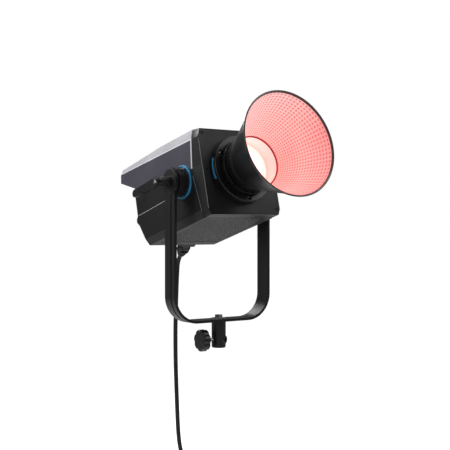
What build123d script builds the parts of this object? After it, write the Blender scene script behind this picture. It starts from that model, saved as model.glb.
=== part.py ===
"""Studio LED spotlight: a tilting head with a bayonet reflector, held in a strip yoke with a stand socket.

Millimetres, +Z up. The origin is the mouth of the stand socket, the head faces -Y and tilts about an
axis along X. Head parts are drawn level, front towards -Y, with the pivot at the origin. Their side
views are lists of (forward, up) points. at_head then tilts and lifts them into place.
"""

from build123d import *
import math
import os

os.makedirs("parts", exist_ok=True)

# ---------------------------------------------------------------- driving dimensions
REST_TILT = 15.0            # how far the head looks up at rest, degrees
# yoke and stand socket
SOCKET_LENGTH = 46.6
SOCKET_R = 12.75
SPIGOT_BORE_R = 8.1         # takes a 16 mm stand spigot
CLAMP_Z = 14.5              # height of the clamp screw above the socket's mouth
YOKE_HALF = 102.0           # centre to the arm's outer face
YOKE_STRIP = 5.0
YOKE_WIDTH = 32.6
YOKE_BEND_R = 48.0
YOKE_DROP = 246.4           # pivot to the crossbar's underside
EYE_R = 22.5                # round end of each arm
PIVOT_R = 5.0               # tilt pivot bolts
PIVOT_Z = SOCKET_LENGTH + YOKE_DROP
# stand clamp knob and tilt lock lever
KNOB_IN = 29.0              # knob faces, left of the socket's middle
KNOB_OUT = 41.0
KNOB_R = 19.4
LEVER_OUT = 126.6           # handle's middle, left of the centre
LEVER_DROOP = 14.5          # how far the handle hangs below level, degrees
LEVER_LENGTH = 76.0
LEVER_HALF = 6.7
# head casing
HALF = 75.0                 # half width of the casing
WALL = 2.5
FRONT = 67.0                # front plate, ahead of the pivot
BOTTOM = -77.0
OPTIC_U = 1.8               # height of the light's axis above the pivot
SEAM_TOP = (49.0, 80.5)     # the bezel's V-shaped rear edge, top, apex and bottom
SEAM_APEX = (33.0, 2.0)
SEAM_BOTTOM = (46.0, -77.0)
SEAM_GAP = 0.6
TRAY_U = -62.4              # where the side panels end and the tray begins
TRAY_HALF = 71.5            # half width of the tray's flat bottom
BODY_BACK = -171.7
ROOF_FRONT = (80.0, 78.0)   # the roof line runs on past the seam, where it is cut
ROOF_MID = (-64.0, 86.2)
ROOF_BACK = (-209.0, 87.9)
TAIL_HIGH = (-216.0, 80.8)
TAIL_LOW = (-220.0, 64.8)
TAIL_ROOT = (-168.8, 39.3)
BEVEL_FRONT_U = 62.3        # where the roof's slanted edge meets the side at the seam
STRIP = 3.5                 # width of the light strip down the roof's front edge
SLOPE_TOP = (-169.5, -33.5)  # the sloping socket panel
SLOPE_BOTTOM = (-147.0, -78.0)
SLOPE = math.atan2(SLOPE_TOP[1] - SLOPE_BOTTOM[1], SLOPE_BOTTOM[0] - SLOPE_TOP[0])
LIP_F = -177.3              # lip between the rear panel and the slope
LIP_U = (-26.0, -20.0)
HUB_OUT = 95.5              # outer faces of the tilt hubs
GRILLE_X = 63.0
GRILLE_F = (-124.0, 38.0)
FACE_SCREWS = [(66, 68.0), (-66, 68.0), (66, 2.5), (-66, 2.5), (67.5, -66.5), (-67.5, -66.5)]
# controls and sockets, as x positions
DIAL_X = (-51.0, 51.0)
DIAL_U = 19.0
BUTTON_X = (-22.5, -7.5, 7.5, 22.5)
BUTTON_U = -5.5
INLET_X = 26.0
INLET_DOWN = -2.0           # inlet and lead, down the slope from its middle
INLET_PINS = ((-7.0, 2.0), (0.0, -2.0), (7.0, 2.0))
ROCKER_X = 58.0
ROCKER_TILT = 8.0           # each way from level, degrees
DATA_X = (-58.0, -31.0)
SERVICE_X = -4.0
# modifier mount and reflector, as radii and distances ahead of the pivot
COLLAR_R = 60.0
COLLAR_FRONT = 84.0
MOUNT_R = 49.5
LUG_TURN = 20.0             # twist that frees the reflector, degrees
LATCH_ARC = 18.0            # half the angle that the release slide covers, degrees
LATCH_TRAVEL = 6.0          # degrees
NECK_R = 49.0
BELL_BACK = 116.0
BELL_BACK_R = 45.7
MOUTH = 215.5
MOUTH_R = 88.7
# cooling
PIPE_U = (-36.0, -18.0, 18.0, 36.0)
PIPE_F = (-6.0, 14.0)
PIPE_HALF = 54.0            # where the straight runs end
FAN_F = (-56.0, -31.0)
FAN_HALF = 46.0
# mains lead
LEAD_R = 4.2
BARREL_OUT = 32.0           # inlet face to the swivelling end of the connector
BOOT_LENGTH = 20.0
BOOT_TURN = 10.0            # boot to connector at rest, degrees towards the vertical
BARREL_R = 8.0
COIL_R = 44.0               # to the middle of the wound turns
COIL_SECTION = 16.5         # half the thickness of the bundle
COIL_CENTRE = (3.5, 180.0, -306.0)


# ---------------------------------------------------------------- helpers
def at_head(shape):
    return Pos(0, 0, PIVOT_Z) * Rot(-REST_TILT, 0, 0) * shape


def prism_x(outline, x_low, x_high, inset=0.0):
    """Solid between two x planes whose side view is a list of (forward, up) points, drawn in by inset."""
    face = make_face(Polyline(*[(-f, u) for f, u in outline], close=True))
    if inset:
        face = offset(face, -inset, kind=Kind.INTERSECTION)
    return Pos(x_low, 0, 0) * extrude(Plane.YZ * face, x_high - x_low, dir=(1, 0, 0))


def prism_f(outline, f_low, f_high):
    """Solid between two planes across the light's axis, from a list of (x, up) points."""
    face = Plane.XZ * make_face(Polyline(*outline, close=True))
    return Pos(0, -f_low, 0) * extrude(face, f_high - f_low, dir=(0, -1, 0))


def box(x0, x1, f0, f1, u0, u1):
    middle = Pos((x0 + x1) / 2, -(f0 + f1) / 2, (u0 + u1) / 2)
    return middle * Box(x1 - x0, f1 - f0, u1 - u0)


def rod_x(radius, x0, x1, f=0.0, u=0.0):
    return Pos((x0 + x1) / 2, -f, u) * Rot(0, 90, 0) * Cylinder(radius, x1 - x0)


def rod_f(radius, f0, f1, x=0.0, u=0.0):
    return Pos(x, -(f0 + f1) / 2, u) * Rot(90, 0, 0) * Cylinder(radius, f1 - f0)


def turned(profile, arc=360.0):
    """Solid of revolution about the light's axis, from a closed list of (forward, radius) points."""
    face = make_face(Polyline(*[(r, -f) for f, r in profile], close=True))
    return Pos(0, 0, OPTIC_U) * revolve(face, Axis.Y, arc)


def around_axis(shape, angle):
    """Turns a shape about the light's axis."""
    return Pos(0, 0, OPTIC_U) * Rot(0, angle, 0) * Pos(0, 0, -OPTIC_U) * shape


def mirrored(shape):
    return mirror(shape, Plane.YZ)


def pair(shape):
    return Compound([*shape.solids(), *mirrored(shape).solids()])


def group(shapes):
    return Compound([solid for shape in shapes for solid in shape.solids()])


def seam_behind(gap):
    """Everything behind the bezel's V-shaped rear edge, less a gap."""
    line = [(f - gap, u) for f, u in (SEAM_TOP, SEAM_APEX, SEAM_BOTTOM)]
    up = (line[0][0] + 4.0, 100.0)
    down = (line[2][0] + 4.0, -100.0)
    return prism_x([up, *line, down, (-260, -100), (-260, 100)], -100, 100)


# ---------------------------------------------------------------- yoke
def yoke_frame():
    def channel(half, low, radius):
        plate = Pos(0, 0, (low + PIVOT_Z) / 2) * Box(2 * half, YOKE_WIDTH, PIVOT_Z - low)
        corners = plate.edges().filter_by(Axis.Y).sort_by(Axis.Z)[:2]
        return fillet(corners, radius)

    strip = channel(YOKE_HALF, SOCKET_LENGTH, YOKE_BEND_R)
    inside = channel(YOKE_HALF - YOKE_STRIP, SOCKET_LENGTH + YOKE_STRIP, YOKE_BEND_R - YOKE_STRIP)
    inside = inside + Pos(0, 0, PIVOT_Z + 20) * Box(2 * (YOKE_HALF - YOKE_STRIP), 60, 80)
    eyes = Pos(0, 0, PIVOT_Z) * rod_x(EYE_R, -YOKE_HALF, YOKE_HALF)
    frame = strip + eyes - inside
    core = channel(YOKE_HALF - 1.2, SOCKET_LENGTH + 1.2, YOKE_BEND_R - 1.2)
    groove = (strip - core) & (Pos(0, -5, PIVOT_Z / 2) * Box(240, 4, PIVOT_Z - 2 * EYE_R))
    bolt_hole = Pos(0, 0, SOCKET_LENGTH + YOKE_STRIP / 2) * Cylinder(5.3, 20)
    pivot_hole = Pos(0, 0, PIVOT_Z) * rod_x(PIVOT_R + 0.05, -120, 120)
    return frame - groove - bolt_hole - pivot_hole


def stand_socket():
    tube = Pos(0, 0, SOCKET_LENGTH / 2) * Cylinder(SOCKET_R, SOCKET_LENGTH)
    boss_turn = Rot(0, 0, -60)
    boss = boss_turn * Pos(SOCKET_R - 1.5, 0, CLAMP_Z) * Rot(0, 90, 0) * Cylinder(7.0, 5.0)
    bore = Pos(0, 0, 20) * Cylinder(SPIGOT_BORE_R, 40)
    second_hole = boss_turn * Pos(15, 0, CLAMP_Z) * Rot(0, 90, 0) * Cylinder(4.25, 20)
    screw_hole = Pos(0, 0, CLAMP_Z) * rod_x(3.05, -20, 0)
    bolt_hole = Pos(0, 0, SOCKET_LENGTH) * Cylinder(5.0, 20)
    step = Pos(0, 0, 1.0) * (Cylinder(SOCKET_R + 2, 2) - Cylinder(SOCKET_R - 0.6, 2))
    return tube + boss - bore - second_hole - screw_hole - bolt_hole - step


def socket_bolt():
    top = SOCKET_LENGTH + YOKE_STRIP
    shank = Pos(0, 0, top - 5.5) * Cylinder(5.0, 11)
    washer = Pos(0, 0, top + 0.9) * Box(18, 18, 1.8)
    head = Pos(0, 0, top + 4.3) * extrude(RegularPolygon(7.5, 6), 5.0, both=True)
    head = head & (Pos(0, 0, top + 4.3) * Cylinder(20, 5))
    return shank + washer + head


def pivot_bolts():
    thread = Pos(0, 0, PIVOT_Z) * rod_x(PIVOT_R, 85, YOKE_HALF + 1)
    cap = rod_x(11.0, YOKE_HALF + 1, YOKE_HALF + 5) + rod_x(9.0, YOKE_HALF + 5, YOKE_HALF + 7)
    cap = Pos(0, 0, PIVOT_Z) * cap
    hex_socket = Pos(YOKE_HALF + 4, 0, PIVOT_Z) * Rot(0, 90, 0) * extrude(RegularPolygon(4, 6), 6)
    right = thread + cap - hex_socket
    left = Pos(0, 0, PIVOT_Z) * rod_x(PIVOT_R, -YOKE_HALF - 17, -85)
    return group([left, right])


def friction_washers():
    disc = rod_x(20, HUB_OUT + 0.1, YOKE_HALF - YOKE_STRIP) - rod_x(PIVOT_R + 0.05, 80, 110)
    return Pos(0, 0, PIVOT_Z) * pair(disc)


def eye_caps():
    """Dished discs that close the outside of the two eyes. The lever stands on the left one."""
    disc = rod_x(EYE_R - 0.5, YOKE_HALF, YOKE_HALF + 1.0) - rod_x(PIVOT_R + 0.05, 90, 110)
    return Pos(0, 0, PIVOT_Z) * pair(disc)


# ---------------------------------------------------------------- tilt lock lever
def lever_hub():
    hub = rod_x(9.6, -YOKE_HALF - 7, -YOKE_HALF - 1.3) + rod_x(8.3, -LEVER_OUT + 5.5, -YOKE_HALF - 7)
    hub = hub - rod_x(PIVOT_R + 0.05, -YOKE_HALF - 21.5, -90)
    for step in range(12):
        flute = Rot(30 * step, 0, 0) * Pos(0, 0, 8.9) * rod_x(1.0, -LEVER_OUT + 8, -YOKE_HALF - 9)
        hub = hub - flute
    return Pos(0, 0, PIVOT_Z) * hub


def lever_handle():
    slab = Pos(-LEVER_OUT, LEVER_LENGTH / 2, 0) * Box(9.0, LEVER_LENGTH, 2 * LEVER_HALF)
    ends = rod_x(LEVER_HALF, -LEVER_OUT - 4.5, -LEVER_OUT + 4.5)
    ends = ends + rod_x(LEVER_HALF, -LEVER_OUT - 4.5, -LEVER_OUT + 4.5, f=-LEVER_LENGTH)
    boss = rod_x(8.3, -LEVER_OUT - 1.0, -LEVER_OUT + 5.5)
    handle = slab + ends + boss
    handle = handle - rod_x(4.6, -LEVER_OUT - 5, -LEVER_OUT - 2.0)
    handle = handle - rod_x(2.6, -LEVER_OUT - 5, -LEVER_OUT + 6)
    return Pos(0, 0, PIVOT_Z) * Rot(-LEVER_DROOP, 0, 0) * handle


def lever_screw():
    screw = rod_x(4.4, -LEVER_OUT - 5.2, -LEVER_OUT - 2.0) + rod_x(2.5, -LEVER_OUT - 2.0, -LEVER_OUT + 3.4)
    slot = Pos(-LEVER_OUT - 5.2, 0, 0) * Box(2.4, 9, 1.3)
    return Pos(0, 0, PIVOT_Z) * Rot(20, 0, 0) * (screw - slot)


# ---------------------------------------------------------------- stand clamp knob
def clamp_knob():
    body = rod_x(KNOB_R, -KNOB_OUT, -KNOB_IN)
    for lobe in range(7):
        scallop = Pos(0, 0, KNOB_R + 6.8) * rod_x(8.4, -KNOB_OUT - 1, -KNOB_IN + 1)
        body = body - Rot(360 / 7 * lobe, 0, 0) * scallop
    rim = [edge for edge in body.edges() if abs(abs(edge.center().X) - KNOB_OUT) < 0.01]
    body = fillet(rim, 2.4)
    body = body + rod_x(7.0, -KNOB_IN, -KNOB_IN + 4)
    return Pos(0, 0, CLAMP_Z) * (body - rod_x(3.0, -KNOB_OUT + 4, -20))


def clamp_screw():
    return Pos(0, 0, CLAMP_Z) * rod_x(3.0, -KNOB_OUT + 4, -SPIGOT_BORE_R - 0.3)


# ---------------------------------------------------------------- head casing, outside
def bevel_cutter(inset):
    """Half space outside the slanted edge between roof and left side, moved inwards by inset."""
    low_front = Vector(-HALF, -SEAM_TOP[0], BEVEL_FRONT_U)
    low_back = Vector(-HALF, -TAIL_HIGH[0], TAIL_HIGH[1] - 0.3)
    high_front = Vector(-HALF + 2.7, -SEAM_TOP[0], SEAM_TOP[1])
    normal = (low_back - low_front).cross(high_front - low_front).normalized()
    if normal.X > 0:
        normal = normal * -1
    plane = Plane(origin=low_front - normal * inset, z_dir=normal)
    return plane * Pos(0, 0, 100) * Box(900, 900, 200)


def roof_shell():
    outline = [ROOF_FRONT, ROOF_MID, ROOF_BACK, TAIL_HIGH, TAIL_LOW, TAIL_ROOT, (80.0, 8.9)]
    outer = prism_x(outline, -HALF, HALF)
    outer = outer - bevel_cutter(0) - mirrored(bevel_cutter(0))
    inner = prism_x(outline, -HALF + WALL, HALF - WALL, inset=WALL)
    inner = inner - bevel_cutter(WALL) - mirrored(bevel_cutter(WALL))
    open_back = TAIL_ROOT[0] + 1.0
    below = prism_x([(90, -5), (90, 60), (open_back, 60), (open_back, -5)], -HALF + WALL, HALF - WALL)
    return (outer - inner - below) & seam_behind(SEAM_GAP)


def wing_zone():
    """The part of the roof's left side below the slanted edge and behind the light strip."""
    drop = (TAIL_HIGH[1] - BEVEL_FRONT_U) / (SEAM_TOP[0] - TAIL_HIGH[0])
    slant = (SEAM_TOP[0] - SEAM_APEX[0]) / (SEAM_TOP[1] - SEAM_APEX[1])

    def seam_f(u):
        return SEAM_APEX[0] + (u - SEAM_APEX[1]) * slant - SEAM_GAP - STRIP

    top_u = BEVEL_FRONT_U + drop * (SEAM_TOP[0] - seam_f(BEVEL_FRONT_U))
    back_u = BEVEL_FRONT_U + drop * (SEAM_TOP[0] + 240)
    outline = [(seam_f(top_u), top_u), (-240, back_u), (-240, 0), (seam_f(0), 0)]
    return prism_x(outline, -HALF - 1, -HALF + WALL)


def casing_sides():
    """Left side panel: the black lower part of the casing's side."""
    slope_f = SLOPE_TOP[0] + (SLOPE_TOP[1] - TRAY_U) / math.tan(SLOPE)
    outline = [
        (36.0, 14.0), (SEAM_APEX[0] - SEAM_GAP, SEAM_APEX[1]), (SEAM_BOTTOM[0] - SEAM_GAP - 2.8, TRAY_U),
        (slope_f, TRAY_U), SLOPE_TOP, (LIP_F, LIP_U[0]), (LIP_F, LIP_U[1]), (BODY_BACK, -14.0),
        (BODY_BACK, TAIL_ROOT[1]), (TAIL_ROOT[0], TAIL_ROOT[1] - 0.5),
    ]
    plate = prism_x(outline, -HALF, -HALF + WALL) & seam_behind(SEAM_GAP)
    return plate - rod_x(12, -HALF - 1, -HALF + WALL + 1)


def bezel_outline(f, inset=0.0):
    """Octagon of the bezel at a distance ahead of the pivot: its upper corners are cut back."""
    t = (FRONT - f) / (FRONT - SEAM_TOP[0])
    top = 76.3 + 3.2 * t - inset
    shoulder = 70.0 + 3.0 * t - inset
    half = HALF - inset
    low = (HALF - 4.5 - inset, BOTTOM + 0.3 + inset)
    right = [(shoulder, top), (half, 61.0 + 1.3 * t), (half, -66.5), low]
    return right + [(-x, u) for x, u in reversed(right)]


def front_bezel():
    sections = [
        Pos(0, -f, 0) * (Plane.XZ * make_face(Polyline(*bezel_outline(f), close=True))) for f in (30.0, FRONT)
    ]
    ring = loft(sections, ruled=True) - seam_behind(0)
    ring = ring - prism_f(bezel_outline(FRONT, 4.2), 20, 80)
    return ring - prism_f(bezel_outline(FRONT, 1.2), 63.5, 80)


def front_plate():
    plate = prism_f(bezel_outline(FRONT, 1.3), 63.6, 66.6)
    plate = plate - rod_f(50, 60, 70, u=OPTIC_U)
    for x, u in FACE_SCREWS:
        plate = plate - rod_f(3.2, 60, 70, x, u)
    return plate


def face_screws():
    screw = rod_f(3.1, 64.0, 66.2) - rod_f(1.5, 65.2, 70)
    return group([Pos(x, 0, u) * screw for x, u in FACE_SCREWS])


def lower_hull():
    """Cross-section of the lower casing, run the full length."""
    return prism_f([(HALF, 60), (HALF, TRAY_U), (TRAY_HALF, BOTTOM), (-TRAY_HALF, BOTTOM), (-HALF, TRAY_U),
                    (-HALF, 60)], -200, 80)


def on_slope(x, along, out=0.0):
    """Frame on the sloping socket panel: its z points out, and along runs up the slope from the middle."""
    mid_f = (SLOPE_TOP[0] + SLOPE_BOTTOM[0]) / 2
    mid_u = (SLOPE_TOP[1] + SLOPE_BOTTOM[1]) / 2
    normal = Vector(0, math.sin(SLOPE), -math.cos(SLOPE))
    uphill = Vector(0, math.cos(SLOPE), math.sin(SLOPE))
    origin = Vector(x, -mid_f, mid_u) + uphill * along + normal * out
    return Plane(origin=origin, x_dir=(1, 0, 0), z_dir=normal)


def behind_slope(depth):
    """Everything ahead of the sloping panel's outer face moved inwards by depth."""
    shift = depth / math.sin(SLOPE)
    top = (SLOPE_TOP[0] - 40 / math.tan(SLOPE) + shift, SLOPE_TOP[1] + 40)
    low = (SLOPE_BOTTOM[0] + 20 / math.tan(SLOPE) + shift, SLOPE_BOTTOM[1] - 20)
    return prism_x([top, low, (100, low[1]), (100, top[1])], -100, 100)


def bottom_tray():
    outer = lower_hull() & seam_behind(SEAM_GAP) & box(-90, 90, -200, 90, -90, TRAY_U - 0.1)
    half = [(HALF - WALL, -50), (HALF - WALL, TRAY_U), (TRAY_HALF - 2.2, BOTTOM + WALL)]
    inner = prism_f(half + [(-x, u) for x, u in reversed(half)], -210, 90)
    tray = (outer - inner) & behind_slope(WALL + 0.1)
    return tray - box(-GRILLE_X, GRILLE_X, *GRILLE_F, -90, -60)


def bottom_grille():
    half = GRILLE_X - 0.2
    plate = box(-half, half, GRILLE_F[0] + 0.2, GRILLE_F[1] - 0.2, BOTTOM + 0.6, BOTTOM + 1.8)
    holes = []
    for row in range(7):
        for column in range(5):
            holes.append(Pos(-50 + column * 25, 110 - row * 23, BOTTOM) * Box(20, 6, 8))
    return plate - holes


def rear_panel():
    panel = box(-HALF + WALL + 0.1, HALF - WALL - 0.1, BODY_BACK, BODY_BACK + WALL, -13.4, TAIL_ROOT[1] - 0.7)
    panel = panel - box(-31, 31, BODY_BACK - 5, BODY_BACK + 10, 3, 35)
    for x in DIAL_X:
        panel = panel - rod_f(3.1, BODY_BACK - 5, BODY_BACK + 10, x, DIAL_U)
    for x in BUTTON_X:
        panel = panel - box(x - 5.3, x + 5.3, BODY_BACK - 5, BODY_BACK + 10, BUTTON_U - 2.8, BUTTON_U + 2.8)
    for slot in range(7):
        for side in (-1, 1):
            panel = panel - Pos(side * (42 + 4.6 * slot), -BODY_BACK, -6) * Box(2, 20, 8)
    return panel


def socket_panel():
    """The lip under the rear panel and the slope with the power and data sockets."""
    thick = WALL / math.sin(SLOPE)
    outline = [
        (BODY_BACK, -13.9), (LIP_F, LIP_U[1]), (LIP_F, LIP_U[0]), SLOPE_TOP, SLOPE_BOTTOM,
        (SLOPE_BOTTOM[0] + thick, SLOPE_BOTTOM[1]), (SLOPE_TOP[0] + thick, SLOPE_TOP[1] + 0.6),
        (LIP_F + WALL, LIP_U[0] + 0.9), (LIP_F + WALL, LIP_U[1] - 0.9), (BODY_BACK + 1.9, -15.2),
        (BODY_BACK + 1.9, -13.9),
    ]
    panel = prism_x(outline, -HALF, HALF) & lower_hull()
    sides = box(HALF - WALL - 0.1, 90, -200, -100, TRAY_U - 0.1, 0)
    panel = panel - sides - mirrored(sides)
    panel = panel - on_slope(INLET_X, INLET_DOWN) * Box(27.4, 20.4, 30)
    panel = panel - on_slope(ROCKER_X, 0) * Box(13.6, 19.6, 30)
    for x in DATA_X:
        panel = panel - on_slope(x, 0) * Cylinder(11.2, 30)
    return panel - on_slope(SERVICE_X, 0) * Box(9.6, 4.2, 30)


# ---------------------------------------------------------------- head casing, fittings
def tilt_hubs():
    hub = rod_x(26.3, HALF, HALF + 8) + rod_x(25.0, HALF + 8, HUB_OUT)
    hub = hub - rod_x(PIVOT_R + 0.05, 80, 100)
    return pair(hub)


def hub_rings():
    ring = rod_x(29.6, HALF, HALF + 3.0) - rod_x(26.4, HALF - 1, HALF + 4)
    return pair(ring)


def mount_collar():
    back = 66.6
    ring = turned([(back, 50.0), (72, 50.0), (72, 55.2), (80, 55.2), (80, MOUNT_R), (COLLAR_FRONT, MOUNT_R),
                   (COLLAR_FRONT, COLLAR_R - 1.2), (COLLAR_FRONT - 1.2, COLLAR_R), (back, COLLAR_R)])
    window = box(-3.0, 3.0, 79, 90, OPTIC_U - 56.5, OPTIC_U - 40)
    for angle in (0, 120, 240):
        ring = ring - around_axis(window, angle)
    return ring - latch_space()


def collar_sector(r_low, r_high, f_low, f_high, half_angle):
    """Piece of a ring about the light's axis, centred on the left side."""
    sector = turned([(f_low, r_low), (f_low, r_high), (f_high, r_high), (f_high, r_low)], 2 * half_angle)
    middle = sector.center()
    now = math.degrees(math.atan2(middle.Z - OPTIC_U, middle.X))
    return around_axis(sector, -(180 - now))


def latch_space():
    space = collar_sector(COLLAR_R - 2.2, COLLAR_R + 2, 71.8, 78.2, LATCH_ARC + 0.6)
    moved = around_axis(space, LATCH_TRAVEL)
    slot = collar_sector(50, COLLAR_R, 74.2, 76.4, 4.5)
    return space + moved + slot + around_axis(slot, LATCH_TRAVEL)


def release_latch():
    """Curved thumb slide in the collar with the lock pin behind it."""
    strip = collar_sector(COLLAR_R - 1.9, COLLAR_R + 0.5, 73.4, 76.6, LATCH_ARC)
    pin = collar_sector(54.0, COLLAR_R - 1.9, 74.5, 76.1, 3.0)
    return strip + pin


# ---------------------------------------------------------------- reflector
def bell_outer(f):
    """Outer radius of the bell: a cone with a little flare towards the mouth."""
    t = (f - BELL_BACK) / (MOUTH - BELL_BACK)
    return BELL_BACK_R + 1.8 + (MOUTH_R - BELL_BACK_R - 0.6) * t


def reflector_bell():
    shell = turned([
        (97.0, 46.2), (BELL_BACK, BELL_BACK_R), (MOUTH - 1.5, MOUTH_R - 0.7),
        (MOUTH - 1.5, bell_outer(MOUTH) - 0.5),
        (BELL_BACK + 3, bell_outer(BELL_BACK + 3)), (BELL_BACK - 4, 48.2), (97.0, 48.2),
    ])
    bead_f = MOUTH - 1.5
    bead = Pos(0, -bead_f, OPTIC_U) * Rot(90, 0, 0) * Torus(MOUTH_R + 0.1, 1.5)
    return shell + bead


def reflector_base():
    ring = turned([(74.0, 46.2), (97.0, 46.2), (97.0, 50.5), (93.0, 50.5), (88.0, NECK_R), (74.0, NECK_R)])
    lug = box(-2.5, 2.5, 74.4, 79.4, OPTIC_U + NECK_R - 1, OPTIC_U + 54.4)
    for angle in (0, 120, 240):
        ring = ring + around_axis(lug, 60 + LUG_TURN + angle)
    return ring


# ---------------------------------------------------------------- light source and cooling
def light_well():
    return turned([(57.0, 24.0), (62.0, 24.0), (86.0, 43.5), (86.0, 44.7), (61.5, 25.6), (57.0, 25.6)])


def cob_board():
    board = box(-27, 27, 52, 54.5, OPTIC_U - 27, OPTIC_U + 27) + rod_f(19, 54.5, 55.6, u=OPTIC_U)
    for x in (-23, 23):
        for u in (-23, 23):
            board = board - rod_f(1.6, 50, 60, x, OPTIC_U + u)
    return board


def cob_glass():
    """Domed protective glass over the light source."""
    outer = Pos(0, -46.0, OPTIC_U) * Sphere(25.5)
    inner = Pos(0, -46.0, OPTIC_U) * Sphere(23.7)
    return (outer - inner) & rod_f(30, 57.0, 90, u=OPTIC_U)


def cob_clamp():
    return rod_f(30, 54.6, 57.0, u=OPTIC_U) - rod_f(20.5, 50, 60, u=OPTIC_U)


def heatsink_base():
    return box(-55, 55, 46, 52, -52, 54)


def heatsink_fins():
    fin_count = 19
    pitch = 5.8
    start = -(fin_count - 1) / 2 * pitch
    pipes = heat_pipe_paths(3.15)
    fins = []
    for number in range(fin_count):
        x = start + number * pitch
        fin = box(x - 0.5, x + 0.5, -24, 46, -50, 52)
        fins.append(fin - pipes)
    return group(fins)


def heat_pipe_paths(radius):
    return [rod_x(radius, -PIPE_HALF, PIPE_HALF, f, u) for f in PIPE_F for u in PIPE_U]


def heat_pipes():
    """Four hairpins: each runs through the fins twice and joins the two runs in a bend."""
    pipes = []
    low, high = PIPE_F
    for u in PIPE_U:
        runs = rod_x(3.0, -PIPE_HALF, PIPE_HALF, low, u) + rod_x(3.0, -PIPE_HALF, PIPE_HALF, high, u)
        ring = Pos(PIPE_HALF, -(low + high) / 2, u) * Torus((high - low) / 2, 3.0)
        pipes.append(runs + (ring & box(PIPE_HALF, PIPE_HALF + 20, low - 10, high + 10, u - 5, u + 5)))
    return group(pipes)


def fan_frame():
    frame = box(-FAN_HALF, FAN_HALF, *FAN_F, -FAN_HALF, FAN_HALF)
    frame = frame - rod_f(43.8, FAN_F[0] - 1, FAN_F[1] + 1)
    stator = rod_f(16, FAN_F[0], FAN_F[0] + 3)
    axle = rod_f(1.5, FAN_F[0] + 3, FAN_F[1] - 4)
    for angle in (45, 135, 225, 315):
        strut = Rot(0, angle, 0) * Pos(30, -(FAN_F[0] + 1.5), 0) * Box(32, 3, 5)
        stator = stator + strut
    for x in (-41.2, 41.2):
        for u in (-41.2, 41.2):
            frame = frame - rod_f(2.2, -60, -20, x, u)
    return frame + stator + axle


def fan_rotor():
    hub = rod_f(18, FAN_F[0] + 5, FAN_F[1] - 1.5) - rod_f(1.55, FAN_F[0], FAN_F[1] - 3.5)
    rotor = hub
    for blade in range(7):
        leaf = Pos(29.5, -(FAN_F[0] + 14), 0) * Rot(38, 0, 0) * Box(25, 1.8, 20)
        rotor = rotor + Rot(0, blade * 360 / 7, 0) * leaf
    duct = rod_f(42.6, FAN_F[0] + 5, FAN_F[1] - 1.5) - rod_f(1.55, FAN_F[0], FAN_F[1] - 3.5)
    return rotor & duct


def chassis():
    """Bulkhead behind the fan, with two ears that carry the tilt hubs."""
    bulkhead = box(-70, 70, -59.2, -57.2, -68, 58) - rod_f(42, -62, -54)
    ear = box(-72.3, -70.3, -59.2, 30, -28, 28) - rod_x(PIVOT_R + 0.05, -80, -60)
    flange = box(-70.3, -68.3, -59.2, -50, -28, 28)
    return bulkhead + ear + mirrored(ear) + flange + mirrored(flange)


def power_supply():
    """Board with its transformer, chokes, capacitors and heat-spreader bar."""
    base = -66.9
    supply = box(-62, 62, -138, -66, base - 1.6, base)
    supply = supply + box(-50, -22, -112, -78, base, -32) + box(-12, 8, -100, -80, base, -40)
    supply = supply + box(14, 54, -88, -80, base, -34) + box(-56, -20, -132, -126, base, -44)
    for x in (-4, 18):
        supply = supply + Pos(x, 120, base + 15) * Cylinder(9, 30)
    for x in (24, 46):
        supply = supply + Pos(x, 100, base + 9) * Cylinder(8, 18)
    return supply


def driver_board():
    """Board under the roof, with inductors and cooling bars hanging from it."""
    driver = box(-62, 62, -150, -64, 52, 53.6)
    driver = driver + box(-56, 56, -130, -126, 30, 52) + box(-56, 56, -114, -110, 34, 52)
    for x in (-44, -16, 12, 40):
        driver = driver + Pos(x, 90, 44) * Cylinder(10, 16)
    return driver


def control_board():
    """Board behind the rear panel, with an encoder for each dial and a key switch for each button."""
    board = BODY_BACK + 12.9
    control = box(-68, 68, board, board + 1.6, -12, 37)
    for x in DIAL_X:
        control = control + box(x - 6, x + 6, board - 6.9, board, DIAL_U - 6, DIAL_U + 6)
    for x in BUTTON_X:
        control = control + box(x - 3, x + 3, board - 5.0, board, BUTTON_U - 2.5, BUTTON_U + 2.5)
    return control


def display():
    return box(-30.5, 30.5, BODY_BACK + 2.7, BODY_BACK + 12.9, 3.5, 34.5)


def display_window():
    return box(-30.8, 30.8, BODY_BACK - 0.4, BODY_BACK + 2.6, 3.2, 34.8)


# ---------------------------------------------------------------- controls that move
def dial_knob(x):
    back = BODY_BACK - 1.0
    knob = rod_f(11, back - 15, back) - rod_f(9.2, back - 16, back - 14.2)
    for ridge in range(24):
        knob = knob - Rot(0, 15 * ridge, 0) * Pos(11.3, 7 - back, 0) * Box(1.2, 12, 1.0)
    knob = knob + rod_f(3.04, back, back + 6.5)
    return Pos(x, 0, DIAL_U) * knob


def button(x):
    cap = box(x - 5, x + 5, BODY_BACK - 1.9, BODY_BACK + 5.3, BUTTON_U - 2.5, BUTTON_U + 2.5)
    return fillet(cap.edges().filter_by(Axis.Y), 0.8)


def rocker_housing():
    case = on_slope(ROCKER_X, 0) * (Pos(0, 0, -6) * Box(13.2, 19.2, 16) + Pos(0, 0, 1) * Box(15.5, 22.0, 2))
    return case - on_slope(ROCKER_X, 0) * Box(10.6, 16.6, 16)


def power_rocker():
    """Two-faced rocker, drawn pressed at its uphill end."""
    block = Box(10.0, 15.6, 5.0)
    for tilt in (ROCKER_TILT, -ROCKER_TILT):
        block = block - Pos(0, 0, 4.0) * Rot(tilt, 0, 0) * Box(14, 30, 4)
    return on_slope(ROCKER_X, 0, 1.6) * Rot(ROCKER_TILT, 0, 0) * block


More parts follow.
